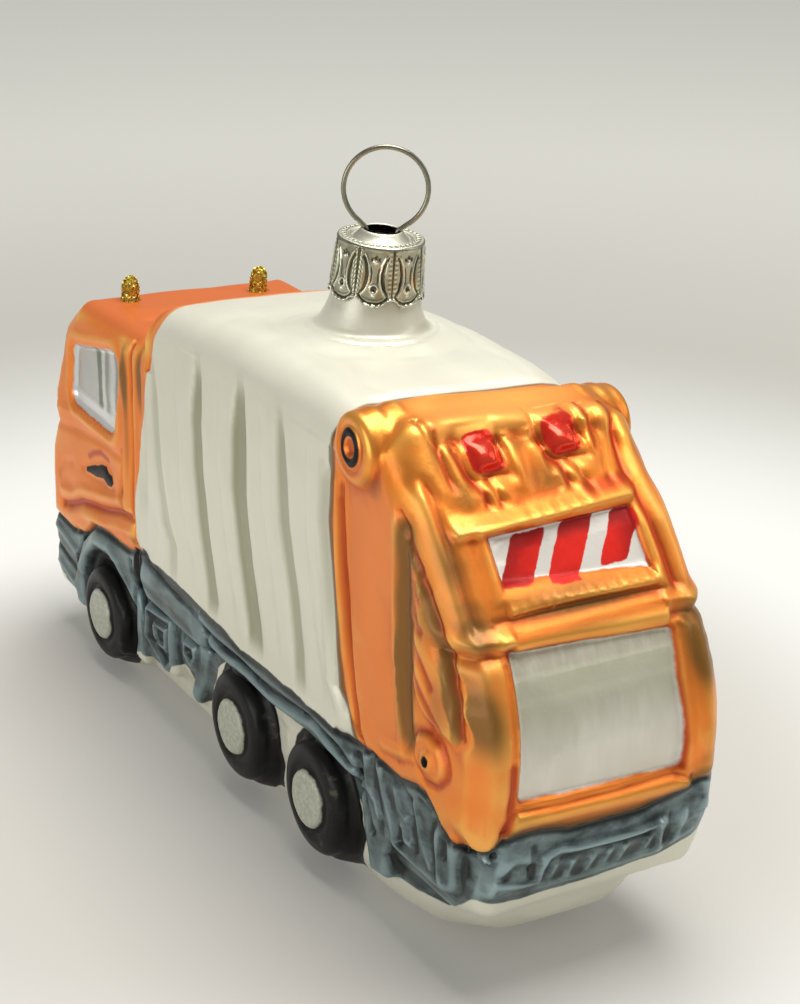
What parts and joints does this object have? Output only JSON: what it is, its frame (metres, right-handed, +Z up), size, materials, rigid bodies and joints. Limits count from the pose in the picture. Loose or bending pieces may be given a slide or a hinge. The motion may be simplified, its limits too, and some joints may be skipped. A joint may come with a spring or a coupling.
{
  "type": "glass tree ornament, garbage truck",
  "caption": "Hollow blown-glass tree ornament shaped like a garbage truck, with a metal crown cap, a spring wire hanging loop and small roof beacons.",
  "frame": {"origin": "centre of the bounding box's bottom, on the flat of the belly the ornament stands on", "axes": "+Z up along the hanging direction, the truck's front faces -Y, its rear +Y, its left side is +X"},
  "size_m": [0.039, 0.1344, 0.0933],
  "materials": {
    "painted_glass": "silvered inside, lacquered outside in orange, pearl white, blue-grey and black, opaque",
    "cap_metal": "thin stamped silver sheet",
    "wire": "plain spring wire",
    "glitter": "gold glitter grains over lacquer"
  },
  "bodies": {
    "ornament": {"glass_body": "painted_glass", "beacon_left": "glitter", "beacon_right": "glitter"},
    "cap": {"metal_cap": "cap_metal"},
    "hanger": {"hanger_loop": "wire"}
  },
  "joints": [
    {"name": "cap_turn", "type": "hinge", "parent": "ornament", "child": "cap", "pos_m": [0, 0.008, 0.0679], "axis": [-0.0636, 0.0544, 0.9965], "continuous": true},
    {"name": "loop_lean", "type": "hinge", "parent": "cap", "child": "hanger", "pos_m": [-0.00087, 0.00875, 0.0815], "axis": [-0.8634, 0.4978, -0.0823], "range_deg": [-8, 8]}
  ]
}
